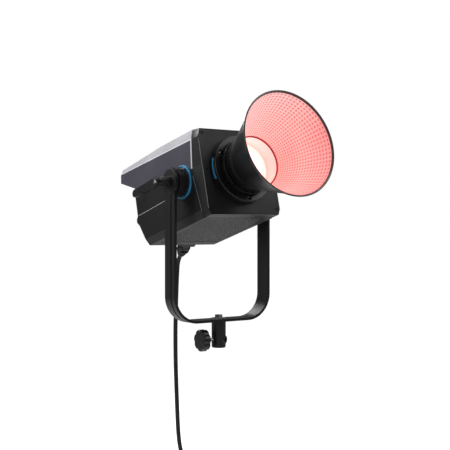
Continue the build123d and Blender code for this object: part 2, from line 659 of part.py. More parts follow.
def power_inlet():
    case = Pos(0, 0, -9) * Box(27, 20, 22) + Pos(0, 0, 1) * Box(31, 24, 2)
    cavity = Pos(0, 0, -5.5) * Box(24, 17, 17)
    pins = [Pos(x, y, -9) * Box(2.0, 4.0, 10.0) for x, y in INLET_PINS]
    return on_slope(INLET_X, INLET_DOWN) * (case - cavity + pins)


def data_ports():
    """Two round data sockets, each a flanged shell with a pin insert, and a small flat service port."""
    shapes = []
    for x in DATA_X:
        shell = Pos(0, 0, -6) * Cylinder(11.0, 16) + Pos(0, 0, 1) * Cylinder(12.4, 2)
        shell = shell - Pos(0, 0, 1) * Cylinder(9.4, 14)
        insert = Pos(0, 0, -6.7) * Cylinder(7.2, 8.6)
        for pin in range(5):
            insert = insert - Rot(0, 0, 72 * pin) * Pos(4.2, 0, -3) * Cylinder(0.9, 8)
        shapes.append(on_slope(x, 0) * (shell + insert))
    port = Pos(0, 0, -3.4) * Box(9.2, 3.8, 8.0) - Pos(0, 0, -1.4) * Box(8.2, 2.8, 6.0)
    port = port + Pos(0, 0, -3.4) * Box(5.0, 0.8, 7.0)
    return group([*shapes, on_slope(SERVICE_X, 0) * port])


# ---------------------------------------------------------------- mains lead
def connector():
    """Inlet connector whose end carries a barrel and a pin for the swivelling boot."""
    nose = Pos(0, 0, -4.6) * Box(23.4, 16.4, 14.4)
    for x, y in INLET_PINS:
        nose = nose - Pos(x, y, -8) * Box(2.2, 4.2, 14.0)
    sizes = ((2.5, 29, 21), (20, 29, 20), (20.5, 26, 18), (22.5, 21, 16))
    grip = loft([Pos(0, 0, z) * Rectangle(w, h) for z, w, h in sizes], ruled=True)
    neck = Pos(0, 0, (22.5 + BARREL_OUT) / 2) * Box(12.4, 13.0, BARREL_OUT - 22.5)
    barrel = Pos(0, 0, BARREL_OUT) * Rot(0, 90, 0) * Cylinder(BARREL_R - 0.4, 12.4)
    pin = Pos(0, 0, BARREL_OUT) * Rot(0, 90, 0) * Cylinder(2.5, 19.0)
    return on_slope(INLET_X, INLET_DOWN) * (nose + grip + neck + barrel + pin)


def boot_frame(out=0.0):
    """Frame on the boot's axis, out from the swivel, for the head at its rest tilt."""
    return on_slope(INLET_X, INLET_DOWN, BARREL_OUT) * Rot(-BOOT_TURN, 0, 0) * Pos(0, 0, out)


def lead_boot():
    """Fork on the connector's pin, then a flat-sided sleeve with ribs that narrows to the lead."""
    sizes = ((9.2, 21, 14), (11.0, 19, 13.4), (BOOT_LENGTH, 11, 10.4))
    sleeve = loft([Pos(0, 0, z) * RectangleRounded(w, h, 3.0) for z, w, h in sizes], ruled=True)
    for groove in range(3):
        width = 16.2 - 1.9 * groove
        cut = Box(30, 30, 1.0) - Box(width, 11.4 - 0.7 * groove, 1.2)
        sleeve = sleeve - Pos(0, 0, 12.4 + 2.3 * groove) * cut
    cheek = Pos(8.6, 0, 0) * Rot(0, 90, 0) * Cylinder(7.3, 3.8) + Pos(8.6, 0, 4.8) * Box(3.8, 13.0, 9.6)
    cheek = cheek - Pos(8.6, 0, 0) * Rot(0, 90, 0) * Cylinder(2.6, 6.0)
    boot = sleeve + cheek + mirrored(cheek)
    return boot_frame() * boot


def boot_point(out):
    """A point of the boot's axis, with the head at its rest tilt."""
    return (at_head(boot_frame(out))).position


def lead_route():
    """The lead leaves the boot, turns down, hangs in a long shallow bow and swings right into the coil."""
    route = [boot_point(BOOT_LENGTH), boot_point(BOOT_LENGTH + 9)]
    for lean in (25.5, 13.0):
        lean = math.radians(lean)
        route.append(route[-1] + Vector(0, math.sin(lean), -math.cos(lean)) * 9)
    x = INLET_X
    free = [
        (x, 187.0, 110.0), (x - 0.3, 189.4, 66.0), (x - 0.8, 190.8, 22.0), (x - 1.0, 190.6, -18.0),
        (x - 1.0, 189.4, -59.0), (x - 0.8, 187.0, -104.0), (x - 0.4, 184.4, -150.0), (x + 0.2, 181.9, -190.0),
        (x + 3.2, 180.6, -222.0), (x + 11.8, 180.0, -250.0), (x + 19.4, 180.0, -276.0),
        (COIL_CENTRE[0] + COIL_R, COIL_CENTRE[1], COIL_CENTRE[2] + 2.0),
    ]
    return [tuple(point) for point in route] + free


def mains_lead():
    points = [Vector(*p) for p in lead_route()]
    radii = []
    for before, corner, after in zip(points, points[1:], points[2:]):
        turn = (corner - before).get_angle(after - corner)
        shorter = min((corner - before).length, (after - corner).length)
        radii.append(0.45 * shorter / math.tan(math.radians(turn) / 2))
    print("lead radii", [round(r) for r in radii])
    path = FilletPolyline(*points, radius=radii)
    section = Plane(origin=path @ 0, z_dir=path % 0) * Circle(LEAD_R)
    tube = sweep(section, path)
    print("lead volume", round(tube.volume), "section x length", round(math.pi * LEAD_R ** 2 * path.length))
    print("lead length", round(path.length))
    return tube


def coil_ring(section_r, arc=360.0):
    section = Pos(COIL_R, 0, 0) * Plane.XY * Circle(section_r)
    return revolve(section, Axis.Y, arc)


def lead_coil():
    return Pos(*COIL_CENTRE) * coil_ring(COIL_SECTION)


def coil_tie():
    band = coil_ring(COIL_SECTION + 1.3, 16) - coil_ring(COIL_SECTION)
    return Pos(*COIL_CENTRE) * Rot(0, -98, 0) * band


def mains_plug():
    """Straight plug with its own tapered boot, hanging from the coil's right side."""
    top = COIL_CENTRE[2] - 37.0
    boot = loft([Pos(0, 0, z) * Circle(r) for z, r in ((top, 4.8), (top - 22, 7.5))])
    sizes = ((top - 22, 17, 15), (top - 30, 25, 19), (top - 48, 25, 19))
    body = loft([Pos(0, 0, z) * Rectangle(w, h) for z, w, h in sizes], ruled=True)
    blades = [Pos(x, 0, top - 56) * Box(1.5, 6.3, 16) for x in (-6.35, 6.35)]
    earth = Pos(0, 6.0, top - 57) * Cylinder(2.4, 18)
    plug = boot + body + blades + earth
    return Pos(COIL_CENTRE[0] + COIL_R, COIL_CENTRE[1], 0) * plug


# ---------------------------------------------------------------- assembly
roof = roof_shell()
left_wing = roof & wing_zone()
right_wing = mirrored(left_wing)
left_panel = casing_sides()

root_parts = {
    "yoke_frame": yoke_frame(), "stand_socket": stand_socket(), "socket_bolt": socket_bolt(),
    "pivot_bolts": pivot_bolts(), "friction_washers": friction_washers(), "eye_caps": eye_caps(),
    "lever_hub": lever_hub(), "lever_handle": lever_handle(), "lever_screw": lever_screw(),
    "clamp_knob": clamp_knob(), "clamp_screw": clamp_screw(),
    "mains_lead": mains_lead(), "lead_coil": lead_coil(), "coil_tie": coil_tie(), "mains_plug": mains_plug(),
}
head_parts = {
    "top_cover": roof - wing_zone() - mirrored(wing_zone()),
    "side_wing_left": left_wing, "side_wing_right": right_wing,
    "side_panel_left": left_panel, "side_panel_right": mirrored(left_panel),
    "front_bezel": front_bezel(), "front_plate": front_plate(), "face_screws": face_screws(),
    "bottom_tray": bottom_tray(), "bottom_grille": bottom_grille(),
    "rear_panel": rear_panel(), "socket_panel": socket_panel(),
    "tilt_hubs": tilt_hubs(), "hub_rings": hub_rings(), "mount_collar": mount_collar(),
    "release_latch": release_latch(), "reflector_bell": reflector_bell(), "reflector_base": reflector_base(),
    "light_well": light_well(), "cob_board": cob_board(), "cob_glass": cob_glass(), "cob_clamp": cob_clamp(),
    "heatsink_base": heatsink_base(), "heatsink_fins": heatsink_fins(), "heat_pipes": heat_pipes(),
    "fan_frame": fan_frame(), "fan_rotor": fan_rotor(), "chassis": chassis(),
    "power_supply": power_supply(), "driver_board": driver_board(), "control_board": control_board(),
    "display_module": display(), "display_window": display_window(),
    "power_inlet": power_inlet(), "data_ports": data_ports(),
    "rocker_housing": rocker_housing(), "power_rocker": power_rocker(),
    "lead_connector": connector(), "lead_boot": lead_boot(),
}
for side, x in zip(("left", "right"), DIAL_X):
    head_parts[f"dial_{side}"] = dial_knob(x)
for number, x in enumerate(BUTTON_X, 1):
    head_parts[f"button_{number}"] = button(x)

parts = {**root_parts, **{name: at_head(shape) for name, shape in head_parts.items()}}
for name, shape in parts.items():
    export_step(shape, f"parts/{name}.step")
print(len(parts), "nodes; lead swivel at", tuple(round(v, 2) for v in boot_point(0)))
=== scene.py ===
"""Looks of the studio LED spotlight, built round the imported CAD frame.

Metres and the frame's own axes, unless a comment says otherwise.
"""

import math

import bmesh
import bpy
from mathutils import Matrix, Vector


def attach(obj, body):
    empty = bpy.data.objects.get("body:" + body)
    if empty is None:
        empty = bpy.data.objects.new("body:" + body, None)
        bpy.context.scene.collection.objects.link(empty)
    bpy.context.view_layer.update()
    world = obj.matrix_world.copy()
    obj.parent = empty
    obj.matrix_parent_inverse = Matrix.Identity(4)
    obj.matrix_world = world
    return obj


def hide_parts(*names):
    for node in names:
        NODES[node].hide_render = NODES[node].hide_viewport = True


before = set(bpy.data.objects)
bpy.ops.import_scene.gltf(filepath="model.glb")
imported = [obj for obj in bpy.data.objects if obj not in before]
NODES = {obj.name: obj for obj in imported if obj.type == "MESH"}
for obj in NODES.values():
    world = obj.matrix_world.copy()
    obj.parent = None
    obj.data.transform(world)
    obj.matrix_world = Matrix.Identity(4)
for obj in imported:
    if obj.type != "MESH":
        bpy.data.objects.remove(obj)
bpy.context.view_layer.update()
MM = 0.001
scene = bpy.context.scene

REST_TILT = math.radians(15)
PIVOT_Z = 0.293
OPTIC_U = 1.8 * MM           # the light's axis, above the tilt pivot
# Head space: x across, -y forward, z up the casing, from the tilt pivot.
HEAD = Matrix.Translation((0, 0, PIVOT_Z)) @ Matrix.Rotation(-REST_TILT, 4, "X")


# ---------------------------------------------------------------- camera
CAMERA_AT = Vector((-0.93006, -1.38993, 0.21839))
CAMERA_AIM = Vector((0.56172, 0.82732, 0.0))
SENSOR_MM, LENS_MM = 36.0, 74.87
camera = bpy.data.objects.new("camera", bpy.data.cameras.new("camera"))
scene.collection.objects.link(camera)
camera.location = CAMERA_AT
camera.rotation_euler = CAMERA_AIM.to_track_quat("-Z", "Y").to_euler()
camera.data.sensor_width = SENSOR_MM
camera.data.lens = LENS_MM
camera.data.clip_start = 0.05
camera.data.clip_end = 200.0
scene.camera = camera
scene.view_settings.view_transform = "Standard"


# ---------------------------------------------------------------- materials
def linear(*rgb):
    """Linear colour from 0-255 display values."""
    def channel(v):
        v = v / 255
        return v / 12.92 if v <= 0.04045 else ((v + 0.055) / 1.055) ** 2.4
    return (*[channel(v) for v in rgb], 1.0)


def toned(colour, factor):
    """The colour made darker or lighter, no brighter than white."""
    return tuple(min(1.0, c * factor) for c in colour[:3]) + (1.0,)


class Shader:
    """A Principled material with object-space helpers for its nodes."""

    def __init__(self, name, **constants):
        self.material = bpy.data.materials.new(name)
        self.material.use_nodes = True
        self.tree = self.material.node_tree
        self.bsdf = self.tree.nodes["Principled BSDF"]
        for socket, value in constants.items():
            self.bsdf.inputs[socket.replace("_", " ")].default_value = value
        self.where = self.add("ShaderNodeTexCoord").outputs["Object"]

    def add(self, kind, inputs=None, **settings):
        node = self.tree.nodes.new(kind)
        for key, value in settings.items():
            setattr(node, key, value)
        for key, value in (inputs or {}).items():
            self.put(node.inputs[key], value)
        return node

    def put(self, socket, value):
        if isinstance(value, bpy.types.NodeSocket):
            self.tree.links.new(value, socket)
        else:
            socket.default_value = value

    def noise(self, scale, detail=3.0, rough=0.55, vector=None):
        node = self.add("ShaderNodeTexNoise", {
            "Vector": vector or self.where, "Scale": scale, "Detail": detail, "Roughness": rough})
        return node.outputs["Fac"]

    def math(self, operation, a, b=0.0):
        return self.add("ShaderNodeMath", {0: a, 1: b}, operation=operation).outputs[0]

    def ramp(self, factor, low, high, to_low=0.0, to_high=1.0):
        node = self.add("ShaderNodeMapRange", {
            "Value": factor, "From Min": low, "From Max": high,
            "To Min": to_low, "To Max": to_high})
        return node.outputs["Result"]

    def mix(self, factor, a, b):
        node = self.add("ShaderNodeMix", data_type="RGBA")
        self.put(node.inputs["Factor"], factor)
        self.put(node.inputs["A"], a)
        self.put(node.inputs["B"], b)
        return node.outputs["Result"]

    def stretched(self, x, y, z):
        node = self.add("ShaderNodeMapping", {"Vector": self.where, "Scale": (x, y, z)})
        return node.outputs["Vector"]

    def bump(self, height, strength, distance):
        node = self.add("ShaderNodeBump", {
            "Height": height, "Strength": strength, "Distance": distance})
        self.put(self.bsdf.inputs["Normal"], node.outputs["Normal"])


def finish(name, colour, roughness, metallic=0.0, grain=900.0, spread=0.10, bump=0.12,
           depth=0.0002, rough_spread=0.06, cloud=14.0, **constants):
    """Painted, moulded or machined surface: clouded colour, varied roughness and a fine grain."""
    s = Shader(name, Metallic=metallic, **constants)
    clouds = s.noise(cloud, 4.0)
    fine = s.noise(grain, 2.0)
    tone = s.ramp(s.math("ADD", clouds, s.math("MULTIPLY", fine, 0.5)), 0.45, 1.05)
    patchy = s.mix(tone, toned(colour, 1 - spread), toned(colour, 1 + spread))
    worn = s.ramp(clouds, 0.3, 0.7, roughness - rough_spread, roughness + rough_spread)
    s.put(s.bsdf.inputs["Base Color"], patchy)
    s.put(s.bsdf.inputs["Roughness"], worn)
    s.bump(fine, bump, depth)
    return s.material


def brushed(name, colour, roughness, along=(1, 40, 40)):
    """Metal with fine lines along one axis."""
    s = Shader(name, Metallic=1.0)
    lines = s.noise(60.0, 5.0, 0.7, s.stretched(*along))
    clouds = s.noise(20.0)
    worn = s.ramp(s.math("ADD", lines, clouds), 0.6, 1.4, roughness * 0.8, roughness * 1.2)
    s.put(s.bsdf.inputs["Base Color"], s.mix(lines, toned(colour, 0.84), colour))
    s.put(s.bsdf.inputs["Roughness"], worn)
    s.bump(lines, 0.15, 0.0001)
    return s.material


YOKE = finish("yoke_powder_coat", linear(27, 26, 28), 0.34, grain=1500, bump=0.30, depth=0.0003,
              Specular_IOR_Level=0.4)
SOCKET_BLACK = finish("socket_satin_black", linear(30, 30, 31), 0.34, bump=0.15)
STEEL = brushed("zinc_steel", linear(176, 176, 180), 0.34)


ROOF_SIDE_X = 0.0747         # further out than this, the roof's paint is on its sides


def roof_paint():
    """Light grey paint, with a painted highlight: the narrow strip that comes down the sides at the
    front is painted paler.
    """
    material = finish("roof_silver_paint", linear(206, 205, 211), 0.42, metallic=0.2, grain=4000,
                      spread=0.04, bump=0.05)
    tree = material.node_tree
    base = tree.nodes["Principled BSDF"].inputs["Base Color"]
    painted = base.links[0].from_socket
    place_node = tree.nodes.new("ShaderNodeTexCoord")
    split = tree.nodes.new("ShaderNodeSeparateXYZ")
    side = tree.nodes.new("ShaderNodeMath")
    side.operation = "ABSOLUTE"
    painted_highlight_strip = tree.nodes.new("ShaderNodeMath")
    painted_highlight_strip.operation = "GREATER_THAN"
    painted_highlight_strip.inputs[1].default_value = ROOF_SIDE_X
    blend = tree.nodes.new("ShaderNodeMix")
    blend.data_type = "RGBA"
    # Painted highlight: the side strip is the same paint, painted paler.
    blend.inputs["B"].default_value = linear(246, 246, 249)
    link = tree.links.new
    link(place_node.outputs["Object"], split.inputs[0])
    link(split.outputs["X"], side.inputs[0])
    link(side.outputs[0], painted_highlight_strip.inputs[0])
    link(painted_highlight_strip.outputs[0], blend.inputs["Factor"])
    link(painted, blend.inputs["A"])
    link(blend.outputs["Result"], base)
    return material


ROOF = roof_paint()
WING = finish("wing_violet_paint", linear(80, 77, 90), 0.46, metallic=0.25, grain=3500,
              spread=0.08, bump=0.08)
PANEL = finish("panel_black_paint", linear(13, 13, 14), 0.44, grain=2500, spread=0.12, bump=0.10,
               Specular_IOR_Level=0.35)
BEZEL = finish("bezel_moulding", linear(24, 24, 25), 0.40, grain=2200, bump=0.22,
               Specular_IOR_Level=0.4)
PLATE = finish("face_plate_anodised", linear(32, 32, 33), 0.42, grain=3000, bump=0.10,
               Specular_IOR_Level=0.4)
TRAY = finish("tray_moulding", linear(38, 36, 39), 0.50, grain=1800, bump=0.28, depth=0.0003)
GRILLE = finish("grille_powder_coat", linear(14, 13, 14), 0.45, grain=2600, bump=0.15,
                Specular_IOR_Level=0.4)
BLUE = finish("blue_anodised", linear(74, 176, 232), 0.28, metallic=0.35, grain=3000, spread=0.08,
              bump=0.05, Coat_Weight=0.5, Coat_Roughness=0.12)
HUB = finish("hub_satin_black", linear(27, 26, 28), 0.30, grain=1600, bump=0.12)
COLLAR = finish("collar_black_anodised", linear(24, 24, 25), 0.28, metallic=0.2, grain=3000,
                bump=0.06)
SHELL = finish("reflector_gloss_black", linear(16, 16, 17), 0.30, grain=120, bump=0.0, cloud=30,
               rough_spread=0.03, Coat_Weight=0.9, Coat_Roughness=0.2)
ALUMINIUM = brushed("mill_aluminium", linear(190, 191, 193), 0.38)
COPPER = brushed("copper_pipe", linear(196, 120, 84), 0.30, (40, 1, 40))
FAN = finish("fan_moulding", linear(28, 28, 29), 0.44, bump=0.15)
BOARD = finish("circuit_board", linear(22, 66, 44), 0.42, grain=700, spread=0.30, bump=0.30)
CONTROL = finish("control_rubber", linear(44, 44, 46), 0.66, grain=1800, bump=0.30)
SHEATH = finish("lead_sheath", linear(22, 22, 23), 0.46, grain=1600, spread=0.14, bump=0.20)
# Painted highlight: light grey for edges, and for the grille's hole walls, where light catches
# them.
EDGE = finish("painted_highlight_grey", linear(160, 160, 163), 0.4, grain=1200, spread=0.2, bump=0.02)
FIBRE = finish("fibre_washer", linear(86, 60, 44), 0.70, grain=900, spread=0.2, bump=0.3)
HOLE = finish("socket_insert", linear(12, 12, 13), 0.55)


def glass(name, colour, roughness):
    """Dark glossy window with a faint smear."""
    s = Shader(name, Roughness=roughness, IOR=1.5)
    smear = s.noise(40.0, 4.0)
    s.put(s.bsdf.inputs["Base Color"], s.mix(smear, colour, toned(colour, 0.94)))
    s.bump(smear, 0.02, 0.0002)
    return s.material


AXIS_POINT = HEAD @ Vector((0, 0, OPTIC_U))
FORWARD = (HEAD.to_3x3() @ Vector((0, -1, 0))).normalized()
PINK_CLOUD = (1.0, 0.62, 0.58, 1.0)
# Painted shade and light on the lining: its dimples are painted darker red, and it is painted paler
# towards one side.
DIMPLE_SHADE_RED = linear(186, 74, 80)
PAINTED_LIT_SIDE = (-0.75, 0.0, 0.66)    # the lining is paler towards this side


def glow(name, stops, strength, roughness=0.35, dimple_shade=0.0, pale=None):
    """Surface painted with the lamp's light, glowing: its colour follows the distance from the
    light's axis, in metres.
    """
    s = Shader(name, Roughness=roughness)

    def vector(operation, output, *inputs):
        node = s.add("ShaderNodeVectorMath", dict(enumerate(inputs)), operation=operation)
        return node.outputs[output]

    from_axis = vector("SUBTRACT", "Vector", s.where, AXIS_POINT)
    across = vector("CROSS_PRODUCT", "Vector", from_axis, FORWARD)
    radius = vector("LENGTH", "Value", across)
    ramp = s.add("ShaderNodeValToRGB", {"Fac": s.ramp(radius, stops[0][0], stops[-1][0])})
    span = stops[-1][0] - stops[0][0]
    elements = ramp.color_ramp.elements
    while len(elements) < len(stops):
        elements.new(0.5)
    for element, (at, colour) in zip(elements, stops):
        element.position = (at - stops[0][0]) / span
        element.color = colour
    colour = s.mix(s.ramp(s.noise(60.0), 0.3, 0.8, 0.0, 0.10), ramp.outputs["Color"], PINK_CLOUD)
    # Painted light: paler towards one side.
    if pale:
        slant = vector("DOT_PRODUCT", "Value", from_axis, PAINTED_LIT_SIDE)
        colour = s.mix(s.ramp(slant, -0.01, 0.085), colour, pale)
    # Painted shade: darker red in the dimples.
    if dimple_shade:
        dimple = s.add("ShaderNodeAttribute", attribute_name="dimple").outputs["Fac"]
        colour = s.mix(s.math("MULTIPLY", dimple, dimple_shade), colour, DIMPLE_SHADE_RED)
    s.put(s.bsdf.inputs["Base Color"], colour)
    s.put(s.bsdf.inputs["Emission Color"], colour)
    s.bsdf.inputs["Emission Strength"].default_value = strength
    return s.material


# The lining is no lamp: its glow is painted lamp light, with painted shade in its dimples and a
# painted paler side.
LINING = glow("reflector_lining", (
    (0.045, linear(255, 176, 170)), (0.066, linear(255, 186, 180)), (0.092, linear(244, 156, 152)),
), 0.52, roughness=0.28, dimple_shade=0.95, pale=linear(250, 214, 211))
# The COB board is the lamp; the light well round it glows with painted lamp light.
WELL = glow("light_well_lit", (
    (0.0, linear(255, 255, 255)), (0.030, linear(255, 250, 246)), (0.040, linear(255, 205, 196)),
    (0.047, linear(250, 170, 162)),
), 1.1)
GLASS_LIT = glow("protective_glass_lit", (
    (0.0, linear(255, 255, 253)), (0.018, linear(255, 252, 248)), (0.026, linear(255, 236, 230)),
), 1.0, roughness=0.15)
# Painted shade: a dark red ring stands for the shade at the step in the bell's throat, and glows
# faintly as painted lamp light.
THROAT_SHADE_RED = linear(110, 14, 20)
THROAT_PAINTED_SHADE = finish("throat_painted_shade_red", THROAT_SHADE_RED, 0.3, grain=2000, bump=0.05,
                Emission_Color=THROAT_SHADE_RED, Emission_Strength=0.6)


# ---------------------------------------------------------------- working on meshes
SHARP_ANGLE = math.radians(40)
BEVEL_ANGLE = math.radians(32)
WELD_DISTANCE = 0.000002


def smooth_by_angle():
    """Node group that leaves edges steeper than SHARP_ANGLE sharp."""
    group = bpy.data.node_groups.new("sharp_edges", "GeometryNodeTree")
    group.interface.new_socket("Geometry", in_out="INPUT", socket_type="NodeSocketGeometry")
    group.interface.new_socket("Geometry", in_out="OUTPUT", socket_type="NodeSocketGeometry")
    begin = group.nodes.new("NodeGroupInput")
    end = group.nodes.new("NodeGroupOutput")
    angle = group.nodes.new("GeometryNodeInputMeshEdgeAngle")
    steep = group.nodes.new("FunctionNodeCompare")
    steep.operation = "GREATER_THAN"
    steep.inputs[1].default_value = SHARP_ANGLE
    smooth = group.nodes.new("GeometryNodeSetShadeSmooth")
    smooth.domain = "FACE"
    sharp = group.nodes.new("GeometryNodeSetShadeSmooth")
    sharp.domain = "EDGE"
    sharp.inputs["Shade Smooth"].default_value = False
    link = group.links.new
    link(begin.outputs[0], smooth.inputs["Geometry"])
    link(angle.outputs["Unsigned Angle"], steep.inputs[0])
    link(smooth.outputs["Geometry"], sharp.inputs["Geometry"])
    link(steep.outputs["Result"], sharp.inputs["Selection"])
    link(sharp.outputs["Geometry"], end.inputs[0])
    return group


SHARP_EDGES = smooth_by_angle()


def soften(obj, width):
    """Rounds an object's edges and sets its shading, all by modifiers."""
    obj.modifiers.new("weld", "WELD").merge_threshold = WELD_DISTANCE
    if width:
        bevel = obj.modifiers.new("bevel", "BEVEL")
        bevel.width = width
        bevel.segments = 2
        bevel.limit_method = "ANGLE"
        bevel.angle_limit = BEVEL_ANGLE
        bevel.use_clamp_overlap = True
    sharp = obj.modifiers.new("sharp", "NODES")
    sharp.node_group = SHARP_EDGES
    normals = obj.modifiers.new("normals", "WEIGHTED_NORMAL")
    normals.keep_sharp = True
    normals.weight = 60


def dress(name, material, width):
    """A CAD node keeps its shape, and gets edges rounded to this width and its finish."""
    mesh = NODES[name].data
    mesh.materials.clear()
    mesh.materials.append(material)
    custom = mesh.attributes.get("custom_normal")
    if custom:
        mesh.attributes.remove(custom)
    soften(NODES[name], width)


def place(name, mesh, materials, body, replaced=()):
    """Makes an object of a mesh that is already in the model's frame."""
    for material in materials:
        mesh.materials.append(material)
    obj = bpy.data.objects.new(name, mesh)
    scene.collection.objects.link(obj)
    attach(obj, body)
    if replaced:
        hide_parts(*replaced)
    return obj


def mesh_of(name, verts, faces, matrix=None, smooth=True):
    """Mesh of these points and faces, moved by the matrix."""
    mesh = bpy.data.meshes.new(name)
    mesh.from_pydata(verts, [], faces)
    if matrix:
        mesh.transform(matrix)
    mesh.update()
    for polygon in mesh.polygons:
        polygon.use_smooth = smooth
    return mesh


def about_axis(f, r, a):
    """Head-space point this far forward and this far from the light's axis, both in mm."""
    return (r * MM * math.cos(a), -f * MM, OPTIC_U + r * MM * math.sin(a))


def lathe(name, profile, steps=192):
    """Closed surface of revolution about the light's axis, from (forward, radius) points in mm."""
    verts = [about_axis(f, r, 2 * math.pi * i / steps) for i in range(steps) for f, r in profile]
    faces = []
    count = len(profile)
    for i in range(steps):
        for j in range(count):
            a, b = i * count, (i + 1) % steps * count
            k = (j + 1) % count
            faces.append((a + j, a + k, b + k, b + j))
    return mesh_of(name, verts, faces, HEAD)


# ---------------------------------------------------------------- mains lead
LEAD_D = 0.0084
COIL = Vector((0.0035, 0.180, -0.306))
COIL_R = 0.044
EXIT = (26.0, 173.30, 159.64)     # EXIT and ROUTE are in mm
ROUTE = [
    EXIT, (26.0, 178.87, 152.56), (26.0, 182.74, 144.44), (26.0, 184.77, 135.67),
    (26.0, 187.0, 110.0), (25.7, 189.4, 66.0), (25.2, 190.8, 22.0), (25.0, 190.6, -18.0),
    (25.0, 189.4, -59.0), (25.2, 187.0, -104.0), (25.6, 184.4, -150.0), (26.2, 181.9, -190.0),
    (29.2, 179.5, -222.0), (37.8, 175.5, -250.0), (46.4, 169.0, -276.0),
]
PACK = 0.0085                     # between the centres of neighbouring turns
ROW = PACK * 0.866
# Where each turn lies in the bundle, as (outwards, across), with its rows one after another.
SLOTS = [
    (radial * PACK, row * ROW)
    for row, places in (
        (-2, (0.5, -0.5)), (-1, (-1, 0, 1)), (0, (0.5, -0.5)), (1, (-1, 0, 1)), (2, (0.5,)))
    for radial in places
]
TURN_POINTS = 16
CROSSING = 0.7                    # share of a turn after which it crosses to the next one's place
TAIL_DROP = 0.040                 # from the last turn down to the plug


def coil_points():
    """Turns wound clockwise from the right-hand side, each in its own place in the bundle."""
    points = []
    for turn, (radial, across) in enumerate(SLOTS):
        after = SLOTS[min(turn + 1, len(SLOTS) - 1)]
        for step in range(TURN_POINTS):
            share = max(0.0, (step / TURN_POINTS - CROSSING) / 0.3)
            r = COIL_R + radial + (after[0] - radial) * share
            v = across + (after[1] - across) * share
            a = -2 * math.pi * step / TURN_POINTS
            points.append(COIL + Vector((r * math.cos(a), v, r * math.sin(a))))
    return points


def lead():
    """The whole lead as one curve: boot to coil, the turns, and the short drop to the plug."""
    points = [Vector(p) * MM for p in ROUTE] + coil_points()
    radial, across = SLOTS[-1]
    for drop in (0.0, 0.014, 0.030, TAIL_DROP):
        left = 1 - drop / TAIL_DROP
        points.append(COIL + Vector((COIL_R + radial * left, across * left, -drop)))
    data = bpy.data.curves.new("mains_lead_sheath", "CURVE")
    data.dimensions = "3D"
    data.bevel_depth = LEAD_D / 2
    data.bevel_resolution = 5
    data.resolution_u = 6
    data.use_fill_caps = True
    spline = data.splines.new("NURBS")
    spline.points.add(len(points) - 1)
    for target, point in zip(spline.points, points):
        target.co = (*point, 1.0)
    spline.order_u = 3
    spline.use_endpoint_u = True
    obj = bpy.data.objects.new("mains_lead_sheath", data)
    scene.collection.objects.link(obj)
    data.materials.append(SHEATH)
    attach(obj, "lead")
    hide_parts("mains_lead", "lead_coil")
    return obj


lead_curve = lead()


# ---------------------------------------------------------------- CAD parts that keep their shape
# Node, finish and the width of its rounded edges.
for node, material, width in (
    ("yoke_frame", YOKE, 0.0007), ("stand_socket", SOCKET_BLACK, 0.0006),
    ("socket_bolt", STEEL, 0.0005), ("pivot_bolts", STEEL, 0.0005),
    ("friction_washers", FIBRE, 0.0002), ("eye_caps", YOKE, 0.0003), ("lever_hub", HUB, 0.0003),
    ("lever_handle", HUB, 0.0014), ("lever_screw", STEEL, 0.0002), ("clamp_knob", HUB, 0.0006),
    ("clamp_screw", STEEL, 0.0003), ("side_wing_left", WING, 0.0003),
    ("side_wing_right", WING, 0.0003), ("side_panel_left", PANEL, 0.0003),
    ("side_panel_right", PANEL, 0.0003), ("front_bezel", BEZEL, 0.0009),
    ("front_plate", PLATE, 0.0003), ("face_screws", HOLE, 0.0002), ("bottom_tray", TRAY, 0.0005),
    ("rear_panel", PANEL, 0.0003), ("socket_panel", PANEL, 0.0004), ("tilt_hubs", HUB, 0.0006),
    ("hub_rings", BLUE, 0.0006), ("mount_collar", COLLAR, 0.0005),
    ("release_latch", BLUE, 0.0004), ("reflector_base", COLLAR, 0.0005),
    ("cob_clamp", ALUMINIUM, 0.0003), ("heatsink_base", ALUMINIUM, 0.0003),
    ("heatsink_fins", ALUMINIUM, 0.0), ("heat_pipes", COPPER, 0.0), ("fan_frame", FAN, 0.0003),
    ("fan_rotor", FAN, 0.0), ("chassis", ALUMINIUM, 0.0002), ("power_supply", BOARD, 0.0),
    ("driver_board", BOARD, 0.0), ("control_board", BOARD, 0.0), ("display_module", HUB, 0.0002),
    ("power_inlet", HUB, 0.0003), ("data_ports", HUB, 0.0003), ("rocker_housing", HUB, 0.0003),
    ("power_rocker", CONTROL, 0.0003), ("lead_connector", SHEATH, 0.0010),
    ("lead_boot", SHEATH, 0.0003), ("coil_tie", SHEATH, 0.0004), ("mains_plug", SHEATH, 0.0008),
    ("dial_left", HUB, 0.0003), ("dial_right", HUB, 0.0003), ("button_1", CONTROL, 0.0005),
    ("button_2", CONTROL, 0.0005), ("button_3", CONTROL, 0.0005), ("button_4", CONTROL, 0.0005),
):
    dress(node, material, width)
dress("top_cover", ROOF, 0.0008)
# The light well glows with painted lamp light; the COB board and its glass are the lamp.
dress("light_well", WELL, 0.0)
dress("cob_board", WELL, 0.0)
dress("cob_glass", GLASS_LIT, 0.0)
dress("display_window", glass("display_glass", (0.02, 0.02, 0.03, 1), 0.08), 0.0004)


# ---------------------------------------------------------------- reflector
# Distances forward of the tilt pivot and radii, in mm.
BELL_BACK, BELL_BACK_R = 116.0, 45.7
MOUTH, MOUTH_R = 215.5, 88.7
NECK_END = 96.6
BEAD_R = 1.5
RAYS, RINGS = 72, 20              # dimples around and along the bell
CELL = 6                          # mesh steps per dimple, each way
DIMPLE_DEPTH = 0.55


